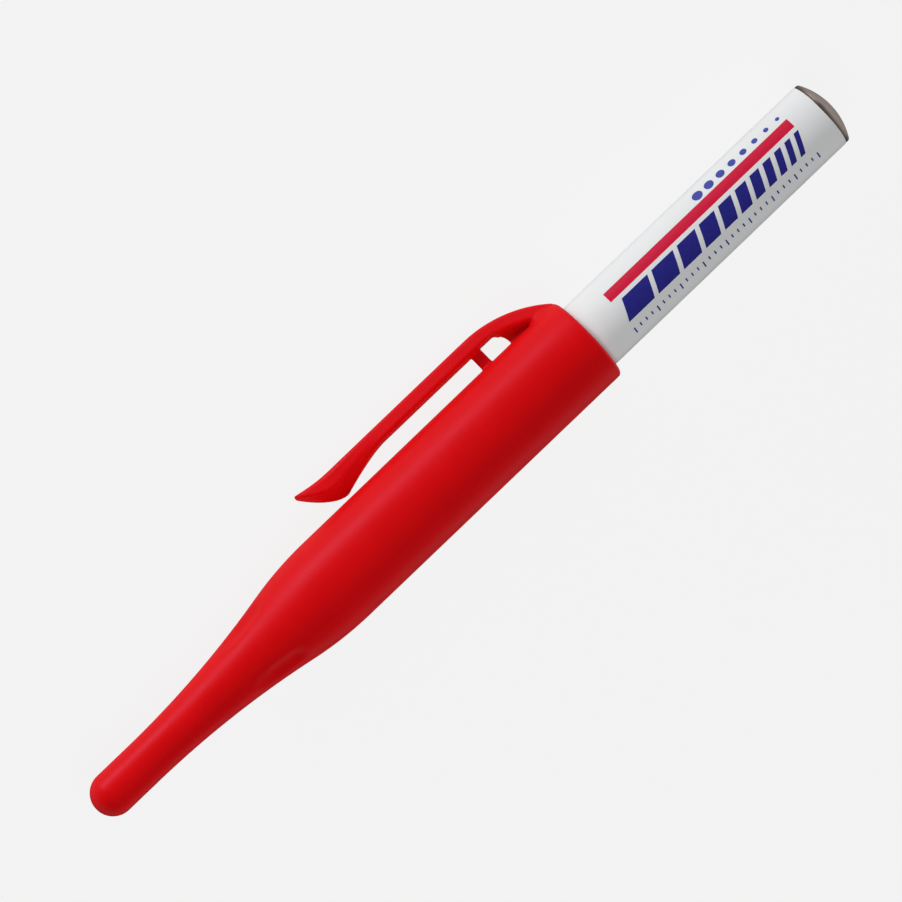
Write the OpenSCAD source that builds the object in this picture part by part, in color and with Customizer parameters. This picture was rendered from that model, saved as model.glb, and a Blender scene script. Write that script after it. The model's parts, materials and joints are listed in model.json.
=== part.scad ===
// Long nib marker with its cap on, lying on a table on the cap and on the edge of the pocket clip.
// +X runs along the pen, from the cap's rounded tip to the barrel's closed end, and +Z is up.
// Sub-parts are drawn upright: z is the distance from the cap's tip and +x points at the clip.

/* [Cap] */
// Length of the cap, from its rounded tip to its mouth
cap_len = 106.7; // [95:0.1:130]
// Wall of the cap's cylinder
cap_wall = 1.1; // [0.8:0.05:1.6]
// Radial room between the barrel and the bore of the cap
bore_gap = 0.65; // [0.4:0.05:1]
// Wall of the slim nose
nose_wall = 1.35; // [1:0.05:2]
// Radial room between the nib tube and the nose
nose_gap = 1.1; // [0.6:0.05:2]
// Wall at the very tip of the nose
tip_wall = 1.6; // [1:0.1:3]
// Length of the S-shaped taper between the nose and the cylinder
taper_run = 42; // [36:0.5:50]
// Share of the taper that is its convex shoulder
shoulder_share = 0.27; // [0.2:0.01:0.5]
// Distance from the seat of the inner cap to the end of the shoulder
shoulder_lead = 2.4; // [1:0.1:6]
// Length of the flare inside the taper
cavity_run = 24; // [18:0.5:26]
// How much smaller the cylinder's radius is at the shoulder than at the mouth
draft = 0.08; // [0:0.01:0.2]
// Rounding of the outer edge of the mouth
mouth_round = 0.45; // [0.2:0.05:0.5]
// Chamfer that leads the barrel into the mouth
mouth_lead = 0.35; // [0.2:0.05:0.4]
// Number of flutes round the taper
flute_count = 4; // [2:1:8]
// Radius of a flute across its width
flute_r = 3; // [2:0.1:5]
// Radius of a flute's floor along the pen
flute_floor_r = 45; // [35:1:80]
// Depth of a flute
flute_depth = 0.4; // [0.1:0.05:0.6]
// Distance from the end of the shoulder back to the deepest point of a flute
flute_back = 16; // [12:0.5:22]
// Number of short ribs deep in the bore that grip the holder's flange
rib_count = 6; // [3:1:12]
// Width of a grip rib
rib_w = 0.9; // [0.5:0.1:1.5]
// Room between the grip ribs and the barrel's crimp, along the pen
rib_inset = 0.5; // [0.3:0.1:1]

/* [Clip] */
// Length of the free arm, from its bending line to its tip
clip_len = 35; // [26:0.5:45]
// Width of the arm
clip_w = 4.6; // [3.5:0.1:6]
// Thickness of the arm
clip_t = 2.5; // [1.8:0.1:3.2]
// Room between the arm and the cap
clip_lift = 2.8; // [2:0.1:4]
// Gap between the pad and the cap
pad_gap = 0.5; // [0.3:0.05:1]
// Distance from the tip to the lowest point of the pad
pad_at = 6.5; // [5:0.25:9]
// Length over which the pad rises to the arm
pad_run = 9.5; // [7:0.5:14]
// How far the lip at the tip lifts above the arm
lip_rise = 0.9; // [0.3:0.1:1.5]
// Thickness of the lip at the tip
lip_t = 0.7; // [0.5:0.1:1.2]
// Length of the rounded end of the arm, seen from above
lip_round = 3.6; // [2:0.2:5]
// Bend radius of the hood, along the middle of its thickness
hood_r = 20; // [16:0.5:26]
// Straight length of the band between its bending line and the hood's bend
hood_straight = 1.2; // [0.5:0.1:3]
// Thickness of the web under the hood
web_t = 1.5; // [1.2:0.1:3]
// Distance from the bending line to the strut
strut_lead = 0.3; // [0.1:0.1:1]
// Length of the strut, along the pen
strut_len = 2; // [1.2:0.1:3]
// Length of the window between the strut and the web
window_len = 4.2; // [2.8:0.1:5]
// Rounding of the window's far corner
window_round = 2.4; // [1:0.1:2.6]

// Half width of the saddle in which the hood's root flows into the cap
saddle_half_w = 4.6; // [3.6:0.1:6]
// Length of the saddle, back from the mouth
saddle_len = 5.5; // [4:0.5:7]
// Length over which the saddle rises to its full height
saddle_run = 4; // [2:0.5:4]

/* [Barrel] */
// Outside diameter of the barrel
barrel_d = 12; // [10:0.1:14.4]
// Length of the barrel, from its mouth to the top of its closed end
barrel_len = 106.9; // [88:0.1:130]
// Wall of the drawn tube
barrel_wall = 0.45; // [0.3:0.05:0.8]
// Height of the domed end
dome_h = 1.7; // [1:0.1:2.5]
// Rounding where the wall turns into the dome
dome_edge = 0.7; // [0.6:0.1:1]
// Distance from the barrel's mouth to the middle of the rolled crimp
crimp_at = 5; // [4:0.5:8]
// Width of the crimp
crimp_w = 2.6; // [1.5:0.1:4]
// Depth of the crimp
crimp_depth = 0.4; // [0.2:0.05:0.6]

/* [Nib] */
// Length of the nib ahead of its holder
nib_len = 24; // [20:0.5:29]
// Air space ahead of the nib in the cap
nib_gap = 2.5; // [1:0.1:5]
// Diameter of the fibre core
core_d = 1.6; // [1.2:0.1:2]
// Diameter of the writing point
point_d = 1; // [0.6:0.1:1.1]
// Length of the writing point ahead of the tube
point_len = 1.5; // [1:0.1:3]
// Outside diameter of the steel tube
tube_d = 2.4; // [2:0.1:3]
// Wall of the tube at its narrowed end
tube_lip = 0.15; // [0.1:0.01:0.2]
// Length of the tube's narrowed end
tube_neck = 2.4; // [1.5:0.1:4]
// Length of tube held in the holder
tube_grip = 10; // [6:0.5:12]
// Depth of the fibre core in the ink reservoir
core_dip = 12; // [6:0.5:20]

/* [Nib holder] */
// Diameter of the holder at the tube
holder_tip_d = 4; // [3.4:0.1:5]
// Length of the rounded cone
cone_len = 15; // [12:0.5:18]
// Diameter of the land that the inner cap seals on
land_d = 8.6; // [7.6:0.1:9]
// Length of the sealing land
land_len = 8; // [6:0.1:10]
// Thickness of the flange that the barrel butts against
flange_t = 2; // [1.2:0.1:3]
// Length of the plug inside the barrel
plug_len = 12; // [9:0.5:16]
// Wall of the plug and of the core guide inside it
plug_wall = 1.3; // [1:0.1:1.5]
// Thickness of the plug's solid front
plug_front = 2; // [1:0.1:4]

/* [Inner cap] */
// Wall of the sealing sleeve
sleeve_wall = 0.75; // [0.5:0.05:1]
// Length of the sleeve ahead of the sealing land
sleeve_lead = 1.5; // [0.5:0.1:3]
// Thickness of the sleeve's flange
sleeve_flange_t = 1.5; // [1:0.1:2.5]

/* [Ink] */
// Thickness of the film round the reservoir
film_t = 0.12; // [0.08:0.01:0.3]
// Air gap between the film and the barrel
film_gap = 0.25; // [0.1:0.05:0.6]
// Air gap between the reservoir and the domed end
tail_gap = 1.2; // [1:0.1:4]

/* [Fits] */
// Radial gap of a pressed or wrapped fit
press_gap = 0.03; // [0.01:0.01:0.05]
// Radial gap of the sealing fit that the cap slides on
seal_gap = 0.05; // [0.03:0.01:0.1]
// Radial gap between the grip ribs and the flange
rib_gap = 0.12; // [0.1:0.01:0.25]

/* [Hidden] */
$fn = 64;
// How far a cutter runs past what it cuts, in millimetres, and a swept root past its wall, in degrees
over = 1;
over_turn = 5;

// Radii
barrel_r = barrel_d / 2;
barrel_in_r = barrel_r - barrel_wall;
bore_r = barrel_r + bore_gap;
cap_r = bore_r + cap_wall;
shoulder_r = cap_r - draft;
tube_r = tube_d / 2;
core_r = core_d / 2;
point_r = point_d / 2;
nose_bore_r = tube_r + nose_gap;
nose_r = nose_bore_r + nose_wall;
land_r = land_d / 2;
sleeve_r = land_r + seal_gap + sleeve_wall;
pocket_r = sleeve_r + press_gap;
plug_r = barrel_in_r - press_gap;
film_r = barrel_in_r - film_gap;
ink_r = film_r - film_t - press_gap;

// Stations along the pen, from the cap's tip
nib_z = tip_wall + nib_gap;
tube_z = nib_z + point_len;
holder_z = nib_z + nib_len;
land_z = holder_z + cone_len;
flange_z = land_z + land_len;
barrel_z = flange_z + flange_t;
plug_z = barrel_z + plug_len;
tube_end_z = holder_z + tube_grip;
core_end_z = plug_z + core_dip;
crimp_z = barrel_z + crimp_at;
rib_len = crimp_z - crimp_w / 2 - flange_z - 2 * rib_inset;
tail_z = barrel_z + barrel_len;
seat_z = flange_z - sleeve_flange_t;
sleeve_z = land_z - sleeve_lead;
pocket_z = sleeve_z - 2 * seal_gap;
taper_end_z = seat_z + shoulder_lead;
taper_z = taper_end_z - taper_run;
flute_z = taper_end_z - flute_back;

// Dome of the closed end
dome_r = (barrel_r * barrel_r + dome_h * dome_h) / (2 * dome_h);
dome_z = tail_z - dome_r;
ink_end_z = tail_z - dome_h - tail_gap;

// Hood and arm of the clip
arm_in_r = cap_r + clip_lift;
arm_out_r = arm_in_r + clip_t;
arm_mid_r = (arm_in_r + arm_out_r) / 2;
hood_out_r = hood_r + clip_t / 2;
hood_axis_x = arm_mid_r - hood_r;
hood_run = sqrt(hood_out_r * hood_out_r - pow(cap_r - hood_axis_x, 2));
hood_end_z = cap_len - mouth_round;
hood_z = hood_end_z - hood_run;
hood_sweep = asin(hood_run / hood_out_r) + over_turn;
root_sink = cap_wall / 2;
web_sweep = acos((cap_r - root_sink - hood_axis_x) / hood_r);
bend_z = hood_z - hood_straight;
tip_z = bend_z - clip_len;
pad_z = tip_z + pad_at;
pad_r = cap_r + pad_gap;
strut_z = bend_z + strut_lead;
window_z = strut_z + strut_len;

// Saddle: how far it stays under the hood's crest and starts under the cap's surface, and its flat share
saddle_sink = 0.25;
saddle_start = 0.03;
saddle_flat = 0.3;
saddle_steps = 16;
saddle_z = hood_end_z - saddle_len;

// The arm's section is a superellipse, rounder where the pad deepens it
section_power = 4;
pad_power = 2;
ring_points = 20;
arm_rings = 26;
arm_ring_crowding = 1.5;
tip_blunt = 0.08;
pad_rise_power = 1.35;
lip_rise_power = 1.75;
arc_steps = 10;

// Lowest point of the clip and widest point of the pen, which settle how it lies
most_roll = 60;
roll_steps = 24;
clip_points = [for (ring = arm_sections()) each ring];
rest_roll = lie_angle(0, most_roll, roll_steps);
widest_y = max([for (p = clip_points) p.x * cos(rest_roll) + p.y * sin(rest_roll)]);

// Points of an arc about a centre, from one angle to another
function arc(centre, r, from, to, steps = arc_steps) =
    [for (i = [0:steps]) let (t = from + (to - from) * i / steps) centre + r * [cos(t), sin(t)]];

// Two tangent arcs that carry a radius r0 at z0 to r1 at z1; share is the second arc's part
function s_curve(r0, z0, r1, z1, share) =
    let (turn = 2 * atan((r1 - r0) / (z1 - z0)))
    let (both = (z1 - z0) / sin(turn))
    let (hollow = both * (1 - share))
    let (crown = both * share)
    concat(arc([r0 + hollow, z0], hollow, 180, 180 - turn), arc([r1 - crown, z1], crown, -turn, 0));

// Wall, rounded edge and dome of a closed end, from the wall up to the axis
function dome_end(r, round_r, sphere_r) =
    let (rise = sqrt(pow(sphere_r - round_r, 2) - pow(r - round_r, 2)))
    let (lean = atan2(rise, r - round_r))
    concat(arc([r - round_r, dome_z + rise], round_r, 0, lean), arc([0, dome_z], sphere_r, lean, 90));

// Rolled groove about the crimp's middle, in a wall of radius r, from the dome's side to the mouth's
function crimp(r) =
    [for (i = [0:arc_steps]) let (t = 1 - 2 * i / arc_steps)
        [r - crimp_depth * (1 + cos(180 * t)) / 2, crimp_z + t * crimp_w / 2]];

// Outer and inner radius of the arm and its half width at a station
function arm_out(z) = arm_out_r + lip_rise * pow(max(0, (pad_z - z) / pad_at), 2);
function arm_in(z) =
    z < pad_z
        ? pad_r + (arm_out(tip_z) - lip_t - pad_r) * pow((pad_z - z) / pad_at, lip_rise_power)
        : arm_in_r - (arm_in_r - pad_r) * pow(max(0, 1 - (z - pad_z) / pad_run), pad_rise_power);
function arm_half_w(z) =
    let (short = max(0, 1 - tip_blunt - (z - tip_z) / lip_round))
    clip_w / 2 * sqrt(1 - short * short);

// Section of the arm at a station: flat-topped above its middle, keel-shaped below at the pad
function arm_section(z) =
    let (top = min(clip_t, arm_out(z) - arm_in(z)) / 2)
    let (mid = arm_out(z) - top)
    let (keel = (arm_in_r - min(arm_in_r, arm_in(z))) / (arm_in_r - pad_r))
    [for (i = [0:ring_points - 1])
        let (s = sin(360 * i / ring_points))
        let (c = cos(360 * i / ring_points))
        let (power = s > 0 ? section_power : section_power + (pad_power - section_power) * keel)
        let (reach = s > 0 ? top : mid - arm_in(z))
        [mid + reach * sign(s) * pow(abs(s), 2 / power),
         arm_half_w(z) * sign(c) * pow(abs(c), 2 / power),
         z]];

function arm_sections() =
    [for (i = [0:arm_rings]) arm_section(tip_z + clip_len * pow(i / arm_rings, arm_ring_crowding))];

// Eased step from 0 to 1, and how far the saddle lifts off the cap at a place beside the hood
function ease(x) = let (t = min(1, max(0, x))) t * t * (3 - 2 * t);
function saddle_lift(y, z) =
    let (crest = hood_axis_x + sqrt(hood_out_r * hood_out_r - pow(z - hood_z, 2)))
    let (aside = (abs(y) / saddle_half_w - saddle_flat) / (1 - saddle_flat))
    let (full = max(0, crest - saddle_sink - cap_r + saddle_start))
    full * ease((z - saddle_z) / saddle_run) * (1 - ease(aside));

// Closed section of the saddle at a station: over its top, then back inside the cap's wall
function saddle_section(z) =
    let (ys = [for (i = [0:saddle_steps]) saddle_half_w * (2 * i / saddle_steps - 1)])
    let (wall = function (r, y) sqrt(r * r - y * y))
    let (over_top = [for (y = ys) [wall(cap_r - saddle_start, y) + saddle_lift(y, z), y, z]])
    let (inside = [for (i = [saddle_steps:-1:0]) [wall(cap_r - root_sink, ys[i]), ys[i], z]])
    concat(over_top, inside);

// Roll at which the arm's far edge comes down to the line that the cap lies on
function clip_drop(roll) = max([for (p = clip_points) p.x * sin(roll) - p.y * cos(roll)]);
function lie_angle(low, high, steps) =
    let (half = (low + high) / 2)
    steps == 0 ? half
    : clip_drop(half) < cap_r ? lie_angle(half, high, steps - 1)
    : lie_angle(low, half, steps - 1);

// Turns an upright sub-part onto the table, with the origin under the middle of the pen
module lay_down() {
    translate([-tail_z / 2, (cap_r - widest_y) / 2, cap_r])
        rotate([90 - rest_roll, 0, 0])
            rotate([0, 90, 0])
                children();
}

module revolved(outline) {
    rotate_extrude()
        polygon(outline);
}

// Solid through closed sections with the same number of points each
module loft(sections) {
    points = len(sections[0]);
    last = (len(sections) - 1) * points;
    side_faces = [for (j = [0:len(sections) - 2], i = [0:points - 1])
        let (a = j * points + i)
        let (b = j * points + (i + 1) % points)
        each [[a, a + points, b], [b, a + points, b + points]]];
    first_face = [[for (i = [0:points - 1]) i]];
    last_face = [[for (i = [points - 1:-1:0]) last + i]];
    polyhedron([for (section = sections) each section], concat(side_faces, first_face, last_face));
}

// Tube between two stations
module sleeve(outer_r, inner_r, from_z, to_z) {
    translate([0, 0, from_z])
        difference() {
            cylinder(r = outer_r, h = to_z - from_z);
            translate([0, 0, -over])
                cylinder(r = inner_r, h = to_z - from_z + 2 * over);
        }
}

// Solid outside of the cap, without its hood
module cap_body() {
    revolved(concat(
        arc([0, nose_r], nose_r, -90, 0),
        s_curve(nose_r, taper_z, shoulder_r, taper_end_z, shoulder_share),
        arc([cap_r - mouth_round, cap_len - mouth_round], mouth_round, 0, 90),
        [[0, cap_len]]
    ));
}

// Space inside the cap: nose, flare, pocket of the inner cap, and bore
module cap_cavity() {
    revolved(concat(
        arc([0, tip_wall + nose_bore_r], nose_bore_r, -90, 0),
        s_curve(nose_bore_r, pocket_z - cavity_run, pocket_r, pocket_z, shoulder_share),
        [[pocket_r, seat_z],
         [bore_r, seat_z],
         [bore_r, cap_len - mouth_lead],
         [bore_r + mouth_lead, cap_len],
         [bore_r + mouth_lead, cap_len + over],
         [0, cap_len + over]]
    ));
}

// Band that carries on from the arm and bends down into the mouth
module hood_band() {
    section = [for (p = arm_section(bend_z)) [p.x, p.y]];
    translate([0, 0, bend_z])
        linear_extrude(hood_z - bend_z)
            polygon(section);
    intersection() {
        translate([hood_axis_x, 0, hood_z])
            rotate([90, 0, 0])
                rotate_extrude(angle = hood_sweep, $fn = 120)
                    polygon([for (p = section) [p.x - hood_axis_x, p.y]]);
        cylinder(r = arm_out_r + over, h = hood_end_z);
    }
}

// Thin web under the hood, with a window that leaves the strut standing
module hood_web() {
    rotate([90, 0, 0])
        linear_extrude(web_t, center = true)
            difference() {
                polygon(concat(
                    [[cap_r - root_sink, strut_z], [arm_mid_r, strut_z]],
                    arc([hood_axis_x, hood_z], hood_r, 0, web_sweep)
                ));
                translate([0, window_z])
                    square([arm_in_r - window_round, window_len]);
                translate([0, window_z])
                    square([arm_in_r, window_len - window_round]);
                translate([arm_in_r - window_round, window_z + window_len - window_round])
                    circle(window_round);
            }
}

// Saddle in which the sides of the hood's root flow into the cap
module hood_saddle() {
    loft([for (i = [0:saddle_steps]) saddle_section(saddle_z + saddle_len * i / saddle_steps)]);
}

// One scoop of the taper: a ring that bites into it on the +x side
module flute() {
    surface_r = lookup(flute_z, [for (p = s_curve(nose_r, taper_z, shoulder_r, taper_end_z, shoulder_share))
                                 [p.y, p.x]]);
    lean = 2 * atan((shoulder_r - nose_r) / taper_run);
    translate([surface_r, 0, flute_z])
        rotate([0, lean, 0])
            translate([flute_floor_r - flute_depth, 0, 0])
                rotate([90, 0, 0])
                    rotate_extrude($fn = 180)
                        translate([flute_floor_r - flute_r, 0])
                            circle(flute_r);
}

module cap_shell() {
    color("#c8101a")
    lay_down() {
        difference() {
            union() {
                cap_body();
                hood_band();
                hood_web();
                hood_saddle();
            }
            cap_cavity();
            for (i = [0:flute_count - 1])
                rotate([0, 0, 360 / flute_count * (i + 0.5)])
                    flute();
        }
        for (i = [0:rib_count - 1])
            rotate([0, 0, 360 / rib_count * i])
                translate([barrel_r + rib_gap, -rib_w / 2, flange_z + rib_inset])
                    cube([bore_gap - rib_gap + root_sink, rib_w, rib_len]);
    }
}

module pocket_clip() {
    color("#d0121c")
    lay_down()
        loft(arm_sections());
}

module inner_cap() {
    color("#f0efe8")
    lay_down() {
        sleeve(sleeve_r, land_r + seal_gap, sleeve_z, seat_z);
        sleeve(bore_r - press_gap, land_r + seal_gap, seat_z, flange_z);
    }
}

module barrel() {
    color("#f4f4f2")
    lay_down()
        revolved(concat(
            [[barrel_r, barrel_z]],
            [for (i = [arc_steps:-1:0]) crimp(barrel_r)[i]],
            dome_end(barrel_r, dome_edge, dome_r),
            [for (i = [2 * arc_steps + 1:-1:0])
                dome_end(barrel_in_r, dome_edge - barrel_wall, dome_r - barrel_wall)[i]],
            crimp(barrel_in_r),
            [[barrel_in_r, barrel_z]]
        ));
}

module nib_holder() {
    color("#ece9df")
    lay_down()
        difference() {
            revolved(concat(
                [[0, holder_z], [holder_tip_d / 2, holder_z]],
                s_curve(holder_tip_d / 2, holder_z, land_r, land_z, shoulder_share),
                [[land_r, flange_z], [barrel_r, flange_z], [barrel_r, barrel_z], [plug_r, barrel_z]],
                [for (i = [arc_steps:-1:0]) crimp(plug_r)[i]],
                [[plug_r, plug_z], [0, plug_z]]
            ));
            translate([0, 0, holder_z - over])
                cylinder(r = tube_r + press_gap, h = tube_grip + over);
            translate([0, 0, holder_z])
                cylinder(r = core_r + press_gap, h = plug_z - holder_z + over);
            sleeve(plug_r - crimp_depth - plug_wall, core_r + plug_wall, barrel_z + plug_front, plug_z + over);
        }
}

module nib_tube() {
    tube_bore_r = core_r + press_gap;
    lip_bore_r = point_r + press_gap;
    color("#c9ccd0")
    lay_down()
        revolved([
            [lip_bore_r, tube_z],
            [lip_bore_r + tube_lip, tube_z],
            [tube_r, tube_z + tube_neck],
            [tube_r, tube_end_z],
            [tube_bore_r, tube_end_z],
            [tube_bore_r, tube_z + tube_neck]
        ]);
}

module fibre_nib() {
    color("#b3121c")
    lay_down()
        revolved(concat(
            arc([0, nib_z + point_r], point_r, -90, 0),
            [[point_r, tube_z + 2 * press_gap],
             [core_r, tube_z + tube_neck + 2 * press_gap],
             [core_r, core_end_z],
             [0, core_end_z]]
        ));
}

module ink_reservoir() {
    color("#a3202a")
    lay_down()
        difference() {
            translate([0, 0, plug_z])
                cylinder(r = ink_r, h = ink_end_z - plug_z);
            translate([0, 0, plug_z - over])
                cylinder(r = core_r + press_gap, h = core_dip + over);
        }
}

module reservoir_film() {
    color("#e8e8ea")
    lay_down()
        sleeve(film_r, film_r - film_t, plug_z, ink_end_z);
}

cap_shell();
pocket_clip();
inner_cap();
barrel();
nib_holder();
nib_tube();
fibre_nib();
ink_reservoir();
reservoir_film();
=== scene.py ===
"""Looks of a capped long nib marker: a red moulded cap with its clip on a white lacquered aluminium barrel.

Each piece is modelled upright in millimetres, with z running from the cap's tip, x towards the clip and
y towards the viewer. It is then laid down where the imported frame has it.
"""

import json
import math

import bmesh
import bpy
from mathutils import Matrix, Vector


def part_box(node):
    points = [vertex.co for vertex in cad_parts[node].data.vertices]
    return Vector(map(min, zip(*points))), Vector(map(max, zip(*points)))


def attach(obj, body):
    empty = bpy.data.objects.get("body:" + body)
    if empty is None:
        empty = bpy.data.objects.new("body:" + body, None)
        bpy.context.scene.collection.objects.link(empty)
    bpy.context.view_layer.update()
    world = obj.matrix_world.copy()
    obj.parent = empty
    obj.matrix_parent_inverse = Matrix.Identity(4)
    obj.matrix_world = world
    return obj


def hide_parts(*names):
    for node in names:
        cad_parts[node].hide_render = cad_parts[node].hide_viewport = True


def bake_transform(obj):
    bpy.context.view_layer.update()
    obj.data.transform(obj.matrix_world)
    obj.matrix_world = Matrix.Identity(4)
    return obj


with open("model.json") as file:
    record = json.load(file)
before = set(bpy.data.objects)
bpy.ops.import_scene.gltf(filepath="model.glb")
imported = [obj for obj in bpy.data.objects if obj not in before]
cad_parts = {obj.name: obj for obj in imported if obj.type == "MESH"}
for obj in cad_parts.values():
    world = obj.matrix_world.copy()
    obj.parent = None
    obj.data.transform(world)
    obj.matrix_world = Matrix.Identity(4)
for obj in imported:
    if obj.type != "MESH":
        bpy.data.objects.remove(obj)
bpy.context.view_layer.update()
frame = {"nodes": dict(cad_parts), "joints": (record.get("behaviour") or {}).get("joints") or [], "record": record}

MM = 0.001
SIDES = 128
# In millimetres: corners this near are one corner, and one this clear of a line is past it
NEAR = 0.001
CLEAR = 0.1

# How the pen lies: along X, turned so that the line its clip bends about runs away from the viewer
grip = next(m for m in frame["record"]["mounts"] if m["name"] == "barrel_grip")
flex = next(j for j in frame["joints"] if j["name"] == "clip_flex")
along = Vector((1, 0, 0))
to_viewer = -Vector(flex["axis"]).normalized()
to_clip = to_viewer.cross(along)
tip_place = Vector((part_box("cap_shell")[0].x, grip["pos_m"][1], grip["pos_m"][2]))
LAID = (
    Matrix.Translation(tip_place)
    @ Matrix((to_clip, to_viewer, along)).transposed().to_4x4()
    @ Matrix.Scale(MM, 4)
)

# Cap, in millimetres from its tip
CAP_LEN = 106.7
CAP_R = 7.75
SHOULDER_R = 7.67
NOSE_R = 3.65
NOSE_BORE_R = 2.3
TIP_WALL = 1.6
TAPER_Z = 10
TAPER_END_Z = 52
STRAIGHT_RUN = 54
STRAIGHT_STEPS = 12
SHOULDER_SHARE = 0.27
BORE_R = 6.65
SEAT_Z = 49.6
POCKET_R = 5.13
POCKET_Z = 41.5
CAVITY_RUN = 24
MOUTH_ROUND = 0.7
MOUTH_LEAD = 0.35
RIB_COUNT = 6
RIB_W = 0.9
RIB_TOP_R = 6.12
RIB_ROOT_R = 7.2
RIB_Z = 51.6
RIB_LEN = 4.7
RIB_ROUND = 0.15
# Each flute is pressed in by strokes of (first z, last z, depth, reach), deepest at its large end. Its middle
# line lies some degrees round the cap from the clip, and corners within a degree of it are on it.
FLUTE_STROKES = [(30, 39.4, 0.34, 2.0), (32, 39.4, 0.22, 2.0)]
FLUTE_FROM_CLIP = 37
FLUTE_LINE = math.cos(math.radians(1))

# Clip: free arm, then the hood that bends down into the mouth, on a web with a window
TIP_Z = 56.0086
BEND_Z = 91.0086
PAD_AT = 6.5
PAD_Z = TIP_Z + PAD_AT
PAD_R = 8.25
PAD_RUN = 9.5
PAD_POWER = 1.35
ARM_IN_R = 10.55
ARM_OUT_R = 13.05
ARM_HALF_W = 2.3
ARM_DRAFT = 0.86
ARM_EDGE_SHARE = 0.2
ARM_STEPS = [
    0, 0.12, 0.3, 0.6, 1, 1.5, 2.1, 2.8, 3.6, 4.5, 5.2, 5.9,
    6.5, 7.1, 7.9, 8.8, 9.8, 10.8, 11.8, 13, 14.4, 16,
]
LIP_RISE = 0.9
LIP_T = 0.7
LIP_POWER = 1.75
LIP_ROUND = 3.6
LIP_BLUNT = 0.08
# The pad narrows to a keel: below each share of its depth it is drawn in by a part of its width
KEEL_STEPS = [(0.47, 0.12), (0.39, 0.16), (0.31, 0.2), (0.23, 0.25), (0.12, 0.3), (0.05, 0.2)]
SIDE_CUTS = 11
HOOD_Z = 92.2086
HOOD_R = 20
HOOD_X = (ARM_IN_R + ARM_OUT_R) / 2 - HOOD_R
HOOD_SWEEP = 42.2
HOOD_STEPS = 30
HOOD_FLARE_FROM = 12
HOOD_FLARE = 0.6
ROOT_R = 6.72
STRUT_Z = 91.3086
WINDOW_Z = 93.3086
WINDOW_END_Z = 97.5086
WINDOW_ROUND = 2.6
WINDOW_STEPS = 16
WINDOW_TOP_R = 10.75
WINDOW_FLAT_Z = 96.4
WEB_HALF_W = 0.6
WEB_FLARE = 1.4
WEB_FLARE_Z = 98.3
WEB_END_Z = 104
WEB_STEPS = 16
SEAT_WALL_R = 7.66
SEAT_WALL_T = 0.6
SEAT_WALL_SPREAD = 58
SEAT_RINGS = 30
SEAT_END_Z = 106.3
SADDLE_FROM_Z = 100.75
SADDLE_FULL_Z = 104.75
SADDLE_HALF_W = 4.6
SADDLE_TOP_SHARE = 0.3
SADDLE_SINK = 0.25
MELT_VOXEL = 0.15
ROOT_EASING = 14
SKIN_EASING = 4

# Barrel
BARREL_R = 6
BARREL_IN_R = 5.55
BARREL_WALL = 0.45
BARREL_Z = 53.1
CRIMP_Z = 58.1
CRIMP_W = 2.6
CRIMP_DEPTH = 0.4
CRIMP_STEPS = 16
TAIL_Z = 160
DOME_R = 11.438
DOME_EDGE = 0.35
DOME_IN_EDGE = 0.1
LACQUER_Z = 157.6
LACQUER_T = 0.05
TRIM_W = 0.3
TRIM_DEPTH = 0.14

# Nib and its holder
NIB_Z = 4.1
POINT_R = 0.5
CORE_R = 0.8
CORE_END_Z = 77.1
CORE_END_R = 0.1
TUBE_Z = 5.6
TUBE_NECK = 2.4
TUBE_LIP = 0.15
TUBE_R = 1.2
TUBE_END_Z = 38.1
HOLDER_Z = 28.1
HOLDER_TIP_R = 2
HOLDER_EDGE = 0.25
LAND_Z = 43.1
LAND_R = 4.3
FLANGE_Z = 51.1
PLUG_R = 5.52
PLUG_Z = 65.1
SLEEVE_Z = 41.6
SLEEVE_R = 5.1
SLEEVE_IN_R = 4.35
SLEEVE_EDGE = 0.2
PRESS_GAP = 0.03


def start(name, add_primitive, **size):
    """Adds a primitive as a new piece and opens it in edit mode, with all of it selected."""
    bpy.ops.object.select_all(action="DESELECT")
    add_primitive(**size)
    piece = bpy.context.object
    piece.name = piece.data.name = name
    bpy.ops.object.mode_set(mode="EDIT")
    return piece


def pick(piece, test):
    """Selects the corners whose place passes the test, in edit mode."""
    mesh = bmesh.from_edit_mesh(piece.data)
    for corner in mesh.verts:
        corner.select_set(test(corner.co))
    mesh.select_flush_mode()
    bmesh.update_edit_mesh(piece.data)


def seal(piece):
    """Merges doubles, turns every face outwards and leaves edit mode."""
    bpy.ops.mesh.select_all(action="SELECT")
    bpy.ops.mesh.remove_doubles(threshold=NEAR)
    bpy.ops.mesh.normals_make_consistent(inside=False)
    bpy.ops.object.mode_set(mode="OBJECT")


def take(piece, *others):
    """Selects a piece, and others with it, in object mode, and makes it the active one."""
    bpy.ops.object.select_all(action="DESELECT")
    for each in (*others, piece):
        each.select_set(True)
    bpy.context.view_layer.objects.active = piece


def modify(piece, kind, **settings):
    """Adds a modifier to a piece and applies it."""
    take(piece)
    modifier = piece.modifiers.new(kind.lower(), kind)
    for name, value in settings.items():
        setattr(modifier, name, value)
    bpy.ops.object.modifier_apply(modifier=modifier.name)


def copied(piece, **placed):
    """Copy of a piece with its own mesh, and a place, turn or scale of its own."""
    copy = piece.copy()
    copy.data = piece.data.copy()
    bpy.context.collection.objects.link(copy)
    for name, value in placed.items():
        setattr(copy, name, value)
    return copy


def finish_piece(piece, body, slot, *nodes, edge_angle=35):
    """Shades a piece softly up to an edge angle, lays it down in the frame, puts it on its body and hides the
    nodes it replaces.
    """
    take(piece)
    bpy.ops.object.shade_smooth_by_angle(angle=math.radians(edge_angle))
    piece.matrix_world = LAID
    bpy.ops.object.transform_apply()
    if body:
        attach(piece, body)
    if nodes:
        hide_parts(*nodes)


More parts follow.
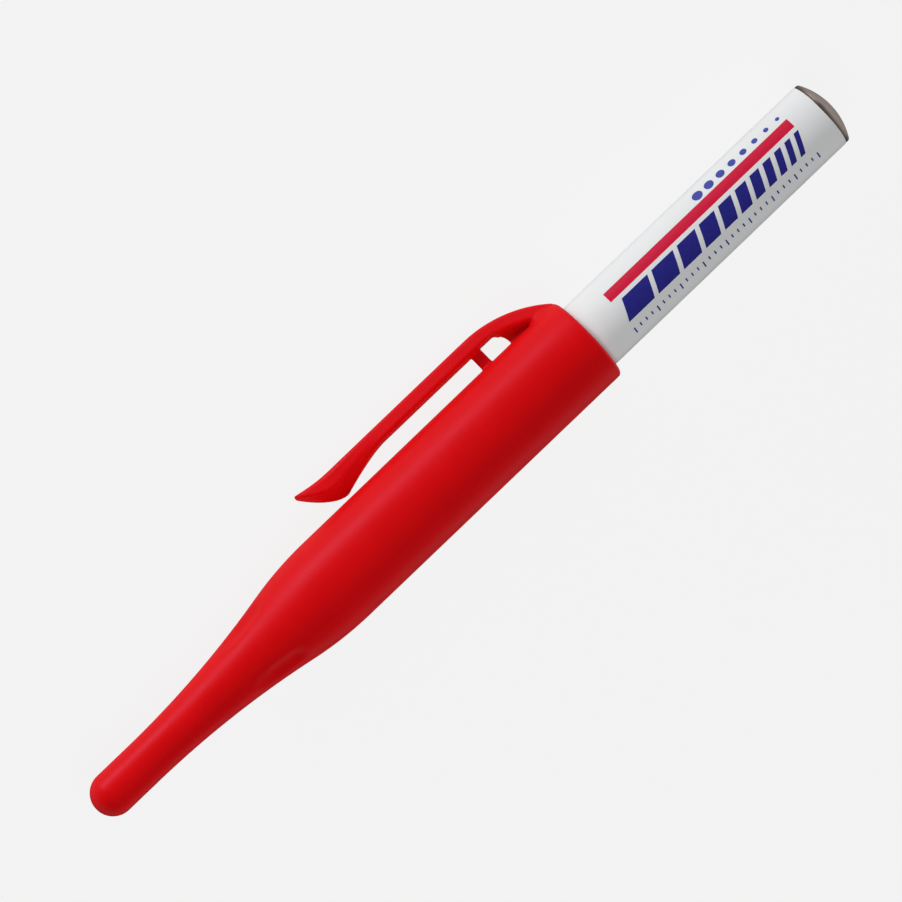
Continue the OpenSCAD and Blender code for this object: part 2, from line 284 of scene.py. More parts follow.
def arc(centre, radius, first, last, steps):
    """Points (r, z) on an arc about a centre, between two angles in degrees."""
    turns = [math.radians(first + (last - first) * i / steps) for i in range(steps + 1)]
    return [(centre[0] + radius * math.cos(t), centre[1] + radius * math.sin(t)) for t in turns]


def s_curve(r0, z0, r1, z1, share, steps):
    """Points (r, z) on two tangent arcs between two radii; share is the second arc's part of the run."""
    run = z1 - z0
    turn = 2 * math.atan((r1 - r0) / run)
    first, second = (1 - share) * run / math.sin(turn), share * run / math.sin(turn)
    hollow = [turn * i / (2 * steps) for i in range(2 * steps)]
    crown = [turn * (steps - i) / steps for i in range(steps + 1)]
    return [(r0 + first * (1 - math.cos(t)), z0 + first * math.sin(t)) for t in hollow] + [
        (r1 - second * (1 - math.cos(t)), z1 - second * math.sin(t)) for t in crown
    ]


def turned(name, outline):
    """Draws a ring out along an outline of (r, z), and stays in edit mode.

    The outline ends where it began, or else its small first and last rings are closed to poles.
    """
    r, z = outline[0]
    piece = start(name, bpy.ops.mesh.primitive_circle_add, vertices=SIDES, radius=r)
    bpy.ops.transform.translate(value=(0, 0, z))
    for next_r, next_z in outline[1:]:
        bpy.ops.mesh.extrude_edges_move(TRANSFORM_OT_translate={"value": (0, 0, next_z - z)})
        bpy.ops.transform.resize(value=(next_r / r, next_r / r, 1), center_override=(0, 0, 0))
        r, z = next_r, next_z
    if outline[0] != outline[-1]:
        bpy.ops.mesh.merge(type="CENTER")
        pole_r, pole_z = outline[0]
        pick(piece, lambda p: abs(p.z - pole_z) < NEAR and p.xy.length < pole_r + NEAR)
        bpy.ops.mesh.merge(type="CENTER")
    return piece


def grip_ribs():
    """Six short ribs deep in the cap's bore: one is drawn out of a plane, and the others are copies of it."""
    rib = start("grip_rib", bpy.ops.mesh.primitive_plane_add, size=1)
    bpy.ops.transform.resize(value=(RIB_ROOT_R - RIB_TOP_R, RIB_W, 1))
    bpy.ops.transform.translate(value=((RIB_ROOT_R + RIB_TOP_R) / 2, 0, RIB_Z))
    bpy.ops.mesh.extrude_region_move(TRANSFORM_OT_translate={"value": (0, 0, RIB_LEN)})
    pick(rib, lambda p: p.x < RIB_ROOT_R - CLEAR)
    bpy.ops.mesh.bevel(offset=RIB_ROUND, segments=3)
    seal(rib)
    turns = [2 * math.pi * i / RIB_COUNT for i in range(1, RIB_COUNT)]
    return [rib] + [copied(rib, rotation_euler=(0, 0, turn)) for turn in turns]


def cap_moulding():
    """Turned shell of the cap, with the flutes pressed into its taper and the grip ribs joined in."""
    straight = [i / STRAIGHT_STEPS for i in range(1, STRAIGHT_STEPS)]
    outside = (
        arc((0, NOSE_R), NOSE_R, -86, 0, steps=18)
        + s_curve(NOSE_R, TAPER_Z, SHOULDER_R, TAPER_END_Z, SHOULDER_SHARE, steps=30)
        + [(SHOULDER_R + (CAP_R - SHOULDER_R) * part, TAPER_END_Z + STRAIGHT_RUN * part) for part in straight]
        + arc((CAP_R - MOUTH_ROUND, CAP_LEN - MOUTH_ROUND), MOUTH_ROUND, 0, 90, steps=7)
    )
    inside = [
        (BORE_R + MOUTH_LEAD, CAP_LEN),
        (BORE_R, CAP_LEN - MOUTH_LEAD),
        (BORE_R, SEAT_Z),
        (POCKET_R, SEAT_Z),
    ]
    cavity = s_curve(NOSE_BORE_R, POCKET_Z - CAVITY_RUN, POCKET_R, POCKET_Z, SHOULDER_SHARE, steps=8)
    inside += reversed(arc((0, TIP_WALL + NOSE_BORE_R), NOSE_BORE_R, -84, 0, steps=10) + cavity)
    piece = turned("cap_moulding", outside + inside)
    for turn in (FLUTE_FROM_CLIP, 180 - FLUTE_FROM_CLIP, 180 + FLUTE_FROM_CLIP, -FLUTE_FROM_CLIP):
        way = Vector((math.cos(math.radians(turn)), math.sin(math.radians(turn)), 0))
        for first_z, last_z, depth, reach in FLUTE_STROKES:
            pick(piece, lambda p: first_z < p.z < last_z and p.xy.length > POCKET_R + CLEAR
                 and p.xy.normalized().dot(way.xy) > FLUTE_LINE)
            bpy.ops.transform.translate(
                value=-way * depth,
                use_proportional_edit=True,
                proportional_edit_falloff="SMOOTH",
                proportional_size=reach,
                use_proportional_connected=True,
            )
    seal(piece)
    ribs = grip_ribs()
    take(piece, *ribs)
    bpy.ops.object.join()
    return piece


def arm_at(z):
    """Inner and outer reach and half width of the clip's arm at a station."""
    lip = max(0, (PAD_Z - z) / PAD_AT)
    outer = ARM_OUT_R + LIP_RISE * lip**2
    if z < PAD_Z:
        inner = PAD_R + (ARM_OUT_R + LIP_RISE - LIP_T - PAD_R) * lip**LIP_POWER
    else:
        inner = ARM_IN_R - (ARM_IN_R - PAD_R) * max(0, 1 - (z - PAD_Z) / PAD_RUN) ** PAD_POWER
    short = max(0, 1 - LIP_BLUNT - (z - TIP_Z) / LIP_ROUND)
    return inner, outer, ARM_HALF_W * math.sqrt(1 - short**2)


def smooth_step(x):
    """Share from 0 to 1 that eases in and out, and stays level before and after."""
    x = min(1, max(0, x))
    return x * x * (3 - 2 * x)


def clip_band():
    """Strip of the clip, drawn out from its lip along the arm and bent over the hood into the cap's wall."""
    piece = start("clip_moulding", bpy.ops.mesh.primitive_plane_add, size=1)
    bpy.ops.mesh.bevel(
        offset=ARM_EDGE_SHARE, offset_type="OFFSET", affect="VERTICES", segments=6, profile=0.5
    )
    pick(piece, lambda p: p.x > 0)
    bpy.ops.transform.resize(value=(1, ARM_DRAFT, 1), center_override=(0, 0, 0))
    pick(piece, lambda p: abs(abs(p.x) - 0.5 + ARM_EDGE_SHARE) < NEAR)
    bpy.ops.mesh.subdivide(number_cuts=SIDE_CUTS)
    bpy.ops.mesh.select_all(action="SELECT")
    stations = [TIP_Z + step for step in ARM_STEPS] + [BEND_Z, HOOD_Z]
    inner, outer, half = arm_at(TIP_Z)
    bpy.ops.transform.resize(value=(outer - inner, 2 * half, 1), center_override=(0, 0, 0))
    bpy.ops.transform.translate(value=((inner + outer) / 2, 0, TIP_Z))
    for z0, z1 in zip(stations, stations[1:]):
        middle = (inner + outer) / 2
        thick, wide = outer - inner, half
        inner, outer, half = arm_at(z1)
        rise = (inner + outer) / 2 - middle
        bpy.ops.mesh.extrude_region_move(TRANSFORM_OT_translate={"value": (rise, 0, z1 - z0)})
        bpy.ops.transform.resize(
            value=((outer - inner) / thick, half / wide, 1), center_override=(middle + rise, 0, z1)
        )
    for z in stations[:-2]:
        inner, outer, half = arm_at(z)
        keel = 1 if z < PAD_Z else max(0, (ARM_IN_R - inner) / (ARM_IN_R - PAD_R))
        for share, narrower in KEEL_STEPS:
            level = inner + share * (outer - inner)
            pick(piece, lambda p: abs(p.z - z) < NEAR and p.x < level)
            bpy.ops.transform.resize(value=(1, 1 - narrower * keel, 1), center_override=(0, 0, 0))
    last_z = stations[-1]
    pick(piece, lambda p: abs(p.z - last_z) < NEAR)
    width = ARM_HALF_W
    for i in range(1, HOOD_STEPS + 1):
        turn = HOOD_SWEEP * i / HOOD_STEPS
        flared = smooth_step((turn - HOOD_FLARE_FROM) / (HOOD_SWEEP - HOOD_FLARE_FROM))
        wider = ARM_HALF_W + HOOD_FLARE * flared
        bpy.ops.mesh.extrude_region_move(TRANSFORM_OT_translate={"value": (0, 0, 0)})
        bpy.ops.transform.rotate(
            value=math.radians(HOOD_SWEEP / HOOD_STEPS), orient_axis="Y", center_override=(HOOD_X, 0, HOOD_Z)
        )
        bpy.ops.transform.resize(value=(1, wider / width, 1), center_override=(0, 0, 0))
        width = wider
    pick(piece, lambda p: HOOD_Z + CLEAR < p.z < WINDOW_FLAT_Z and p.x < WINDOW_TOP_R)
    bpy.ops.transform.resize(value=(0, 1, 1), center_override=(WINDOW_TOP_R, 0, 0))
    pick(piece, lambda p: p.z > HOOD_Z and p.x < ROOT_R)
    bpy.ops.transform.resize(value=(0, 1, 1), center_override=(ROOT_R, 0, 0))
    seal(piece)
    return piece


def clip_web():
    """Web and strut under the hood: a thin wall that flares into the cap, with the window cut through it."""
    piece = start("clip_web", bpy.ops.mesh.primitive_plane_add, size=1)
    low = SEAT_WALL_R - SEAT_WALL_T / 2
    stations = [STRUT_Z] + [WINDOW_Z + (WEB_END_Z - WINDOW_Z) * i / WEB_STEPS for i in range(WEB_STEPS + 1)]
    reach = [HOOD_X + math.sqrt(HOOD_R**2 - (z - HOOD_Z) ** 2) - low for z in stations]
    half = [
        WEB_HALF_W + WEB_FLARE * smooth_step((z - WEB_FLARE_Z) / (WEB_END_Z - WEB_FLARE_Z)) for z in stations
    ]
    bpy.ops.transform.resize(value=(reach[0], 2 * half[0], 1))
    bpy.ops.transform.translate(value=(low + reach[0] / 2, 0, stations[0]))
    for i in range(1, len(stations)):
        bpy.ops.mesh.extrude_region_move(
            TRANSFORM_OT_translate={"value": (0, 0, stations[i] - stations[i - 1])}
        )
        bpy.ops.transform.resize(
            value=(reach[i] / reach[i - 1], half[i] / half[i - 1], 1), center_override=(low, 0, 0)
        )
    seal(piece)
    cutter = start("window_cutter", bpy.ops.mesh.primitive_cube_add, size=1)
    bpy.ops.transform.resize(value=(2 * (WINDOW_TOP_R - low), 4 * ARM_HALF_W, WINDOW_END_Z - WINDOW_Z))
    bpy.ops.transform.translate(value=(low, 0, (WINDOW_Z + WINDOW_END_Z) / 2))
    pick(cutter, lambda p: p.x > low and p.z > WINDOW_Z + CLEAR)
    bpy.ops.mesh.bevel(offset=WINDOW_ROUND, segments=WINDOW_STEPS)
    seal(cutter)
    modify(piece, "BOOLEAN", operation="DIFFERENCE", object=cutter, solver="EXACT")
    bpy.data.objects.remove(cutter)
    return piece


def saddle_lift(y, z):
    """How far the wall patch rises off the cap beside the hood, so that the hood's root flows into it."""
    crest = HOOD_X + math.sqrt((HOOD_R + ARM_OUT_R / 2 - ARM_IN_R / 2) ** 2 - (z - HOOD_Z) ** 2)
    risen = smooth_step((z - SADDLE_FROM_Z) / (SADDLE_FULL_Z - SADDLE_FROM_Z))
    rise = risen * (crest - SADDLE_SINK - SEAT_WALL_R)
    aside = (abs(y) / SADDLE_HALF_W - SADDLE_TOP_SHARE) / (1 - SADDLE_TOP_SHARE)
    return max(0, rise) * (1 - smooth_step(aside))


def seat_wall():
    """Patch of the cap's wall, just under its surface, that rises to a saddle for the hood to flow out of."""
    piece = start("seat_wall", bpy.ops.mesh.primitive_circle_add, vertices=SIDES, radius=SEAT_WALL_R)
    bpy.ops.transform.translate(value=(0, 0, BEND_Z))
    step = (SEAT_END_Z - BEND_Z) / SEAT_RINGS
    for _ in range(SEAT_RINGS):
        bpy.ops.mesh.extrude_edges_move(TRANSFORM_OT_translate={"value": (0, 0, step)})
    edge = math.cos(math.radians(SEAT_WALL_SPREAD))
    pick(piece, lambda p: p.x < SEAT_WALL_R * edge)
    bpy.ops.mesh.delete(type="VERT")
    bpy.ops.mesh.select_all(action="SELECT")
    bpy.ops.mesh.normals_make_consistent(inside=False)
    bpy.ops.object.mode_set(mode="OBJECT")
    modify(piece, "SOLIDIFY", thickness=SEAT_WALL_T, offset=-1)
    for corner in piece.data.vertices:
        if corner.co.xy.length > SEAT_WALL_R - SEAT_WALL_T / 2:
            corner.co.x += saddle_lift(corner.co.y, corner.co.z)
    return piece


def clip_moulding():
    """Whole clip: band, web and wall patch melted into one and eased, so that each inside corner fills."""
    piece = clip_band()
    web, wall = clip_web(), seat_wall()
    take(piece, web, wall)
    bpy.ops.object.join()
    modify(piece, "REMESH", mode="VOXEL", voxel_size=MELT_VOXEL)
    root = piece.vertex_groups.new(name="root")
    bpy.ops.object.mode_set(mode="EDIT")
    pick(piece, lambda p: p.z > BEND_Z)
    bpy.ops.object.vertex_group_assign()
    bpy.ops.object.mode_set(mode="OBJECT")
    modify(piece, "SMOOTH", factor=0.5, iterations=ROOT_EASING, vertex_group=root.name)
    modify(piece, "SMOOTH", factor=0.5, iterations=SKIN_EASING)
    piece.vertex_groups.clear()
    return piece


def closed_end(r, edge_r, sphere_r):
    """Outline (r, z) of a domed end, from its crown to the wall."""
    centre_z = TAIL_Z - DOME_R
    rise = math.sqrt((sphere_r - edge_r) ** 2 - (r - edge_r) ** 2)
    lean = math.degrees(math.atan2(rise, r - edge_r))
    edge = (r - edge_r, centre_z + rise)
    return arc((0, centre_z), sphere_r, 89, lean, steps=16) + arc(edge, edge_r, lean, 0, steps=6)[1:]


def barrel_crimp(r):
    """Outline (r, z) of the rolled groove that holds the nib's holder, from the closed end's side."""
    turns = [1 - 2 * i / CRIMP_STEPS for i in range(CRIMP_STEPS + 1)]
    return [
        (r - CRIMP_DEPTH * (1 + math.cos(math.pi * t)) / 2, CRIMP_Z + t * CRIMP_W / 2) for t in turns
    ]


def barrel_tube():
    """Drawn tube with its closed domed end, trimmed bare there, and the rolled groove near its mouth."""
    metal_r = BARREL_R - LACQUER_T
    outside = closed_end(metal_r, DOME_EDGE, DOME_R)
    outside += [
        (metal_r, LACQUER_Z + TRIM_W),
        (metal_r - TRIM_DEPTH, LACQUER_Z + TRIM_W / 2),
        (metal_r - TRIM_DEPTH, LACQUER_Z),
        (BARREL_R - LACQUER_T / 2, LACQUER_Z),
        (BARREL_R, LACQUER_Z - LACQUER_T),
    ]
    outside += barrel_crimp(BARREL_R) + [(BARREL_R, BARREL_Z)]
    inside = closed_end(BARREL_IN_R, DOME_IN_EDGE, DOME_R - BARREL_WALL)
    inside += barrel_crimp(BARREL_IN_R) + [(BARREL_IN_R, BARREL_Z)]
    return turned("barrel_tube", outside + inside[::-1])


def nib_holder():
    """Moulded holder: cone, sealing land, flange and the plug that the barrel is rolled onto."""
    bore, edge = TUBE_R + PRESS_GAP, HOLDER_EDGE
    outline = (
        [(bore, TUBE_END_Z), (bore, HOLDER_Z)]
        + arc((HOLDER_TIP_R - edge, HOLDER_Z + edge), edge, -90, 0, steps=5)
        + s_curve(HOLDER_TIP_R, HOLDER_Z + edge, LAND_R, LAND_Z, SHOULDER_SHARE, steps=12)[1:]
        + [(LAND_R, FLANGE_Z)]
        + arc((BARREL_R - edge, FLANGE_Z + edge), edge, -90, 0, steps=5)
        + [(BARREL_R, BARREL_Z), (PLUG_R, BARREL_Z)]
        + barrel_crimp(PLUG_R)[::-1]
        + [(PLUG_R, PLUG_Z), (CORE_R + PRESS_GAP, PLUG_Z), (CORE_R + PRESS_GAP, TUBE_END_Z)]
    )
    return turned("nib_holder_moulding", outline + outline[:1])


def nib_tube():
    """Thin drawn tube, necked in at its front over the nib's point."""
    bore, lip = CORE_R + PRESS_GAP, POINT_R + PRESS_GAP
    outline = (
        [(lip, TUBE_Z + TUBE_LIP / 2)]
        + arc((lip + TUBE_LIP / 2, TUBE_Z + TUBE_LIP / 2), TUBE_LIP / 2, 180, 330, steps=6)[1:]
        + [(TUBE_R, TUBE_Z + TUBE_NECK), (TUBE_R, TUBE_END_Z), (bore, TUBE_END_Z), (bore, TUBE_Z + TUBE_NECK)]
    )
    return turned("nib_tube_drawn", outline + outline[:1])


def fibre_nib():
    """Fibre core with its rounded point."""
    gap = 2 * PRESS_GAP
    outline = arc((0, NIB_Z + POINT_R), POINT_R, -85, 0, steps=10) + [
        (POINT_R, TUBE_Z + gap),
        (CORE_R, TUBE_Z + TUBE_NECK + gap),
        (CORE_R, CORE_END_Z),
        (CORE_END_R, CORE_END_Z),
    ]
    return turned("fibre_nib_point", outline)


def inner_cap():
    """Soft sleeve pressed into the cap, with a flange at its seat."""
    edge = SLEEVE_EDGE
    outline = (
        arc((SLEEVE_IN_R + edge, SLEEVE_Z + edge), edge, 180, 270, steps=4)
        + arc((SLEEVE_R - edge, SLEEVE_Z + edge), edge, -90, 0, steps=4)
        + [(SLEEVE_R, SEAT_Z), (BORE_R - PRESS_GAP, SEAT_Z)]
        + arc((BORE_R - PRESS_GAP - edge, FLANGE_Z - edge), edge, 0, 90, steps=4)
        + arc((SLEEVE_IN_R + edge, FLANGE_Z - edge), edge, 90, 180, steps=4)
    )
    return turned("inner_cap_sleeve", outline + outline[:1])


def colour(hexed):
    """Linear colour of an sRGB hex value."""
    parts = [int(hexed[i : i + 2], 16) / 255 for i in (1, 3, 5)]
    return (*[p / 12.92 if p <= 0.04045 else ((p + 0.055) / 1.055) ** 2.4 for p in parts], 1)


def per_mm(size):
    """Texture scale whose features are a size in millimetres across."""
    return 1 / (size * MM)


def add_node(material, kind, settings, *in_order, **by_name):
    """Adds a node; a socket, in order or by name, is given a value or the output of another node to link."""
    made = material.node_tree.nodes.new("ShaderNode" + kind)
    for name, value in settings.items():
        setattr(made, name, value)
    named = {name.replace("_", " "): value for name, value in by_name.items()}
    for key, value in {**dict(enumerate(in_order)), **named}.items():
        socket = made.inputs[key]
        if isinstance(value, bpy.types.NodeSocket):
            material.node_tree.links.new(value, socket)
        else:
            socket.default_value = value
    return made


def new_material(name, **constants):
    """Adds a material and gives its shader and the piece's own coordinates."""
    material = bpy.data.materials.new(name)
    material.use_nodes = True
    shader = material.node_tree.nodes["Principled BSDF"]
    for socket, value in constants.items():
        shader.inputs[socket.replace("_", " ")].default_value = value
    place = add_node(material, "TexCoord", {}).outputs["Object"]
    return material, shader, place


def wire(material, shader, **sockets):
    """Links the outputs of other nodes to the shader's sockets."""
    for name, output in sockets.items():
        material.node_tree.links.new(output, shader.inputs[name.replace("_", " ")])


# Tint of what plastic reflects
COOL_SHEEN = "#daceff"
# Noise seldom leaves this range
NOISE_LOW, NOISE_HIGH = 0.3, 0.7


def satin_plastic(name, dark, light, roughness, shine):
    """Polypropylene and its like, moulded or rolled: a satin skin with faint flow marks and a fine grain.

    The grain of a real mould is a few hundredths of a millimetre, and is drawn coarser so that it shows.
    """
    material, shader, place = new_material(
        name, IOR=1.49, Specular_IOR_Level=shine, Specular_Tint=colour(COOL_SHEEN),
        Subsurface_Weight=0.08, Subsurface_Radius=(1, 0.25, 0.2), Subsurface_Scale=1.2 * MM,
    )
    flow = add_node(material, "TexNoise", {}, Vector=place, Scale=per_mm(7), Detail=3.0)
    tint = add_node(
        material, "MixRGB", {}, Fac=flow.outputs["Fac"], Color1=colour(dark), Color2=colour(light)
    )
    grain = add_node(material, "TexNoise", {}, Vector=place, Scale=per_mm(0.35), Detail=2.0)
    gloss = add_node(
        material, "MapRange", {}, Value=flow.outputs["Fac"],
        From_Min=NOISE_LOW, From_Max=NOISE_HIGH, To_Min=roughness - 0.04, To_Max=roughness + 0.04,
    )
    bump = add_node(material, "Bump", {}, Height=grain.outputs["Fac"], Strength=0.25, Distance=0.02 * MM)
    wire(
        material, shader, Base_Color=tint.outputs["Color"], Roughness=gloss.outputs["Result"],
        Normal=bump.outputs["Normal"],
    )
    return material


def white_lacquer():
    """Stoved white lacquer on metal: even, with a soft gloss and a trace of orange peel."""
    material, shader, place = new_material("white stoved lacquer", IOR=1.5, Specular_IOR_Level=0.3)
    peel = add_node(material, "TexNoise", {}, Vector=place, Scale=per_mm(1.4), Detail=1.0)
    cloud = add_node(material, "TexNoise", {}, Vector=place, Scale=per_mm(9), Detail=2.0)
    tint = add_node(
        material, "MixRGB", {}, Fac=cloud.outputs["Fac"], Color1=colour("#ecedee"), Color2=colour("#f1f2f3")
    )
    gloss = add_node(
        material, "MapRange", {}, Value=cloud.outputs["Fac"],
        From_Min=NOISE_LOW, From_Max=NOISE_HIGH, To_Min=0.3, To_Max=0.36,
    )
    bump = add_node(material, "Bump", {}, Height=peel.outputs["Fac"], Strength=0.15, Distance=0.02 * MM)
    wire(
        material, shader, Base_Color=tint.outputs["Color"], Roughness=gloss.outputs["Result"],
        Normal=bump.outputs["Normal"],
    )
    return material


def bare_aluminium():
    """Drawn aluminium left bare: warm grey, dulled by handling, with rings where its end was turned.

    A wave repeats about three times in its size, so the rings are 0.8 mm apart.
    """
    material, shader, place = new_material("bare drawn aluminium", Metallic=1.0)
    centred = add_node(material, "Mapping", {}, Vector=place, Location=(0, -tip_place.y, -tip_place.z))
    rings = add_node(
        material, "TexWave", {"wave_type": "RINGS", "rings_direction": "X"}, Vector=centred.outputs["Vector"],
        Scale=per_mm(2.5), Distortion=0.6, Detail=2.0,
    )
    dull = add_node(material, "TexNoise", {}, Vector=place, Scale=per_mm(2.2), Detail=3.0)
    tint = add_node(
        material, "MixRGB", {}, Fac=dull.outputs["Fac"], Color1=colour("#8a7b74"), Color2=colour("#b5a69d")
    )
    gloss = add_node(
        material, "MapRange", {}, Value=dull.outputs["Fac"],
        From_Min=NOISE_LOW, From_Max=NOISE_HIGH, To_Min=0.3, To_Max=0.45,
    )
    bump = add_node(material, "Bump", {}, Height=rings.outputs["Fac"], Strength=0.2, Distance=0.02 * MM)
    wire(
        material, shader, Base_Color=tint.outputs["Color"], Roughness=gloss.outputs["Result"],
        Normal=bump.outputs["Normal"],
    )
    return material


def drawn_steel():
    """Drawn stainless tube: satin bright, with fine lines along its length.

    The lines of a real tube are finer, and are drawn coarse enough to show.
    """
    material, shader, place = new_material("drawn stainless steel", Metallic=1.0)
    lengthwise = add_node(material, "Mapping", {}, Vector=place, Scale=(0.02, 1, 1))
    lines = add_node(
        material, "TexNoise", {}, Vector=lengthwise.outputs["Vector"], Scale=per_mm(0.12), Detail=3.0
    )
    tint = add_node(
        material, "MixRGB", {}, Fac=lines.outputs["Fac"], Color1=colour("#b4b7bb"), Color2=colour("#d8dadc")
    )
    gloss = add_node(
        material, "MapRange", {}, Value=lines.outputs["Fac"],
        From_Min=NOISE_LOW, From_Max=NOISE_HIGH, To_Min=0.3, To_Max=0.42,
    )
    bump = add_node(material, "Bump", {}, Height=lines.outputs["Fac"], Strength=0.15, Distance=0.01 * MM)
    wire(
        material, shader, Base_Color=tint.outputs["Color"], Roughness=gloss.outputs["Result"],
        Normal=bump.outputs["Normal"],
    )
    return material


def soaked_fibre():
    """Bonded fibres soaked with red ink: dark and soft, with fibres that run along the nib.

    Real fibres are a few hundredths of a millimetre, and are drawn coarser so that they show.
    """
    material, shader, place = new_material("ink-soaked fibre", Roughness=0.85, Sheen_Weight=0.15)
    lengthwise = add_node(material, "Mapping", {}, Vector=place, Scale=(0.05, 1, 1))
    fibres = add_node(
        material, "TexNoise", {}, Vector=lengthwise.outputs["Vector"], Scale=per_mm(0.1), Detail=4.0
    )
    tint = add_node(
        material, "MixRGB", {}, Fac=fibres.outputs["Fac"], Color1=colour("#6d0d17"), Color2=colour("#b3202b")
    )
    bump = add_node(material, "Bump", {}, Height=fibres.outputs["Fac"], Strength=0.5, Distance=0.05 * MM)
    wire(material, shader, Base_Color=tint.outputs["Color"], Normal=bump.outputs["Normal"])
    return material


def print_ink(name, dark, light):
    """Screen-printed ink on the lacquer: flat and satin, a little uneven where it was laid on."""
    material, shader, place = new_material(name, IOR=1.5, Specular_IOR_Level=0.12)
    laid = add_node(material, "TexNoise", {}, Vector=place, Scale=per_mm(0.8), Detail=3.0)
    tint = add_node(
        material, "MixRGB", {}, Fac=laid.outputs["Fac"], Color1=colour(dark), Color2=colour(light)
    )
    gloss = add_node(
        material, "MapRange", {}, Value=laid.outputs["Fac"],
        From_Min=NOISE_LOW, From_Max=NOISE_HIGH, To_Min=0.36, To_Max=0.5,
    )
    wire(material, shader, Base_Color=tint.outputs["Color"], Roughness=gloss.outputs["Result"])
    return material


def floor_paper():
    """Matt white paper sweep, lit through from below: evenly pale, no gloss, a trace of mottling."""
    material, shader, place = new_material(
        "white paper sweep", Roughness=0.95, Specular_IOR_Level=0.1,
        Emission_Color=colour("#ffffff"), Emission_Strength=0.865,
    )
    mottle = add_node(material, "TexNoise", {}, Vector=place, Scale=per_mm(60), Detail=2.0)
    tint = add_node(
        material, "MixRGB", {}, Fac=mottle.outputs["Fac"], Color1=colour("#3c3c3c"), Color2=colour("#404040")
    )
    wire(material, shader, Base_Color=tint.outputs["Color"])
    return material


# Print on the barrel, flat before it is wrapped; places across it are measured round the barrel from the line
# nearest the viewer
PRINT_LIFT = 0.008
PRINT_R = BARREL_R + PRINT_LIFT
PRINT_T = 0.01
PRINT_Z = 112.6
PRINT_LEN = 40.1
PRINT_TURN = 7
STRIPE_AT = 2.5
STRIPE_W = 1.9
BAR_COUNT = 11
BAR_AT = -1.0
BAR_W = 3.6
BAR_SLANT = 1.6
BAR_GAP = 0.9
BAR_SHRINK = 0.84
TICK_AT = -4.2
TICK_PITCH = 1.25
TICK_W = 0.24
TICK_LONG = 1.3
TICK_SHORT = 0.75
TICKS_PER_LONG = 4
DOT_AT = 4.75
DOT_R = 0.95
DOT_SIDES = 32
DOT_COUNT = 8
DOT_PITCH = 2.5
DOT_SHRINK = 0.6
DOT_RINGS = 3


def flat_bar(name, across, length, cuts, slant=0):
    """One printed bar about the origin, cut fine enough to wrap; a slant moves its clip-side end along."""
    piece = start(name, bpy.ops.mesh.primitive_plane_add, size=1)
    bpy.ops.transform.resize(value=(across, length, 1))
    pick(piece, lambda p: p.x > 0)
    bpy.ops.transform.translate(value=(0, slant, 0))
    bpy.ops.mesh.select_all(action="SELECT")
    bpy.ops.mesh.subdivide(number_cuts=cuts)
    bpy.ops.object.mode_set(mode="OBJECT")
    return piece


def wrapped(name, motifs):
    """Joins flat motifs, stands them up, bends them round the barrel and gives them an ink's thickness."""
    piece, *others = motifs
    take(piece, *others)
    if others:
        bpy.ops.object.join()
    piece.name = piece.data.name = name
    bpy.ops.object.transform_apply()
    bpy.ops.object.mode_set(mode="EDIT")
    bpy.ops.mesh.select_all(action="SELECT")
    bpy.ops.transform.rotate(value=-math.pi / 2, orient_axis="X", center_override=(0, 0, 0))
    bpy.ops.object.mode_set(mode="OBJECT")
    across = [corner.co.x for corner in piece.data.vertices]
    modify(
        piece, "SIMPLE_DEFORM", deform_method="BEND", deform_axis="Z",
        angle=-(max(across) - min(across)) / PRINT_R,
    )
    modify(piece, "SOLIDIFY", thickness=PRINT_T, offset=0)
    piece.location = (0, PRINT_R, 0)
    bpy.ops.object.transform_apply()
    piece.rotation_euler.z = math.radians(PRINT_TURN)
    bpy.ops.object.transform_apply()
    bpy.ops.object.mode_set(mode="EDIT")
    seal(piece)
    return piece


def crimson_print():
    """Plain stripe along the barrel."""
    stripe = flat_bar("stripe", STRIPE_W, PRINT_LEN, cuts=9)
    stripe.location = (STRIPE_AT, PRINT_Z + PRINT_LEN / 2, 0)
    return wrapped("print_crimson", [stripe])


def navy_print():
    """Slanted bars that thin out along the barrel, over a fine row of ticks."""
    bar = flat_bar("bar", BAR_W, 1, cuts=14, slant=BAR_SLANT)
    shares = [BAR_SHRINK**i for i in range(BAR_COUNT)]
    room = PRINT_LEN - BAR_SLANT - BAR_GAP * (BAR_COUNT - 1)
    motifs = []
    z = PRINT_Z
    for share in shares:
        width = room * share / sum(shares)
        each = copied(bar, location=(BAR_AT, z + width / 2, 0))
        for corner in each.data.vertices:
            lean = BAR_SLANT * (corner.co.x / BAR_W + 0.5)
            corner.co.y = lean + (corner.co.y - lean) * width
        motifs.append(each)
        z += width + BAR_GAP
    tick = flat_bar("tick", 1, TICK_W, cuts=4)
    for i in range(int(PRINT_LEN / TICK_PITCH) + 1):
        tall = TICK_SHORT if i % TICKS_PER_LONG else TICK_LONG
        place = (TICK_AT - tall / 2, PRINT_Z + i * TICK_PITCH, 0)
        motifs.append(copied(tick, location=place, scale=(tall, 1, 1)))
    for spare in (bar, tick):
        bpy.data.objects.remove(spare)
    return wrapped("print_navy", motifs)


def blue_print():
    """Row of dots that shrink towards the closed end."""
    dot = start("dot", bpy.ops.mesh.primitive_circle_add, vertices=DOT_SIDES, radius=DOT_R, fill_type="NGON")
    for _ in range(DOT_RINGS):
        bpy.ops.mesh.inset(thickness=DOT_R / (DOT_RINGS + 1))
    bpy.ops.object.mode_set(mode="OBJECT")
    motifs = []
    last_z = PRINT_Z + PRINT_LEN - DOT_R
    for i in range(DOT_COUNT):
        left = DOT_COUNT - 1 - i
        scale = 1 - DOT_SHRINK * i / (DOT_COUNT - 1)
        motifs.append(copied(dot, location=(DOT_AT, last_z - left * DOT_PITCH, 0), scale=(scale, scale, 1)))
    bpy.data.objects.remove(dot)
    return wrapped("print_blue", motifs)


